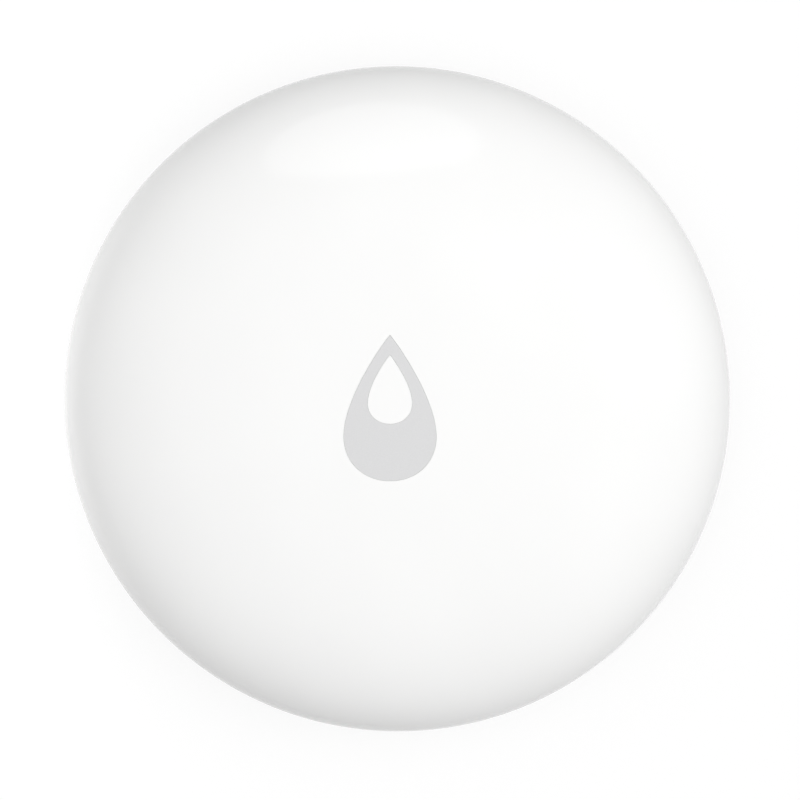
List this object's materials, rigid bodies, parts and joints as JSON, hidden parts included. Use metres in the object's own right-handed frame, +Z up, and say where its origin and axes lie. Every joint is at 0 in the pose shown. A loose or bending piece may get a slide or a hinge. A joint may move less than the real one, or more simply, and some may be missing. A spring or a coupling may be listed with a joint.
{
  "type": "water leak sensor",
  "caption": "Domed round white puck that lies on a floor and senses water between two metal probes on its underside.",
  "frame": {"origin": "centre of the circle on the floor that the four foot nubs stand on", "axes": "+Z up out of the crown, +Y towards the tip of the drop mark, +X to the right seen from above; the probes lie on the X axis"},
  "size_m": [0.05, 0.05, 0.015],
  "materials": {
    "shell_white": "glossy moulded polycarbonate",
    "mark_grey": "smooth light grey inlay, flush with the crown",
    "base_white": "finely sparked moulded polycarbonate",
    "seal_rubber": "dark silicone rubber",
    "probe_steel": "turned stainless steel",
    "can_steel": "drawn nickel-plated steel",
    "grommet_nylon": "dark nylon",
    "cathode_powder": "pressed black powder",
    "anode_metal": "soft dull grey metal",
    "contact_steel": "nickel-plated spring steel",
    "strip_bronze": "gold-plated spring bronze",
    "clip_steel": "stamped stainless steel",
    "board_green": "green solder mask on glass-fibre board",
    "screw_steel": "zinc-plated steel",
    "switch_black": "black moulded nylon",
    "switch_steel": "tinned sheet steel",
    "actuator_white": "white moulded acetal",
    "guide_clear": "clear moulded polycarbonate",
    "lamp_white": "white lamp carrier",
    "lamp_lens": "pale yellow lamp lens",
    "chip_black": "black moulded epoxy",
    "crystal_steel": "plated steel can",
    "tank_yellow": "yellow moulded capacitor case",
    "capacitor_tan": "tan ceramic",
    "resistor_black": "black-coated ceramic",
    "antenna_copper": "copper under lacquer"
  },
  "bodies": {
    "housing": {"top_shell": "shell_white", "drop_mark": "mark_grey", "base_shell": "base_white", "rim_seal": "seal_rubber", "probe_seals": "seal_rubber", "probe_left": "probe_steel", "probe_right": "probe_steel", "positive_contact": "contact_steel", "negative_contact": "contact_steel", "probe_strips": "strip_bronze", "probe_clips": "clip_steel", "circuit_board": "board_green", "board_screws": "screw_steel", "switch_body": "switch_black", "switch_frame": "switch_steel", "switch_leads": "switch_steel", "switch_dome": "switch_steel", "light_guide": "guide_clear", "led_base": "lamp_white", "led_lens": "lamp_lens", "radio_chip": "chip_black", "sense_chip": "chip_black", "crystal": "crystal_steel", "tank_capacitor": "tank_yellow", "chip_capacitors": "capacitor_tan", "chip_resistors": "resistor_black", "antenna": "antenna_copper"},
    "cell_and_seal": {"cover_seal": "seal_rubber", "cell_can": "can_steel", "cell_cap": "can_steel", "cell_grommet": "grommet_nylon", "cell_cathode": "cathode_powder", "cell_anode": "anode_metal"},
    "battery_cover": {"battery_cover": "base_white"},
    "button_actuator": {"button_actuator": "actuator_white"},
    "switch_plunger": {"switch_plunger": "switch_black"}
  },
  "joints": [
    {"name": "cover_cam", "type": "slide", "parent": "housing", "child": "cell_and_seal", "axis": [0, 0, -1], "range_m": [0, 0.0004], "deforming": ["negative_contact"]},
    {"name": "battery_cover_turn", "type": "hinge", "parent": "cell_and_seal", "child": "battery_cover", "pos_m": [0, 0, 0.00165], "axis": [0, 0, -1], "range_deg": [0, 50]},
    {"name": "button_press", "type": "slide", "parent": "housing", "child": "button_actuator", "axis": [0, 0, -1], "range_m": [0, 0.00025], "stiffness_N_per_m": 6400},
    {"name": "plunger_travel", "type": "slide", "parent": "housing", "child": "switch_plunger", "axis": [0, 0, -1], "range_m": [0, 0.00025], "deforming": ["switch_dome"]}
  ],
  "couplings": [
    {"joint": "battery_cover_turn", "follows": "cover_cam", "rad_per_m": 2181.7},
    {"joint": "plunger_travel", "follows": "button_press", "ratio": 1}
  ]
}
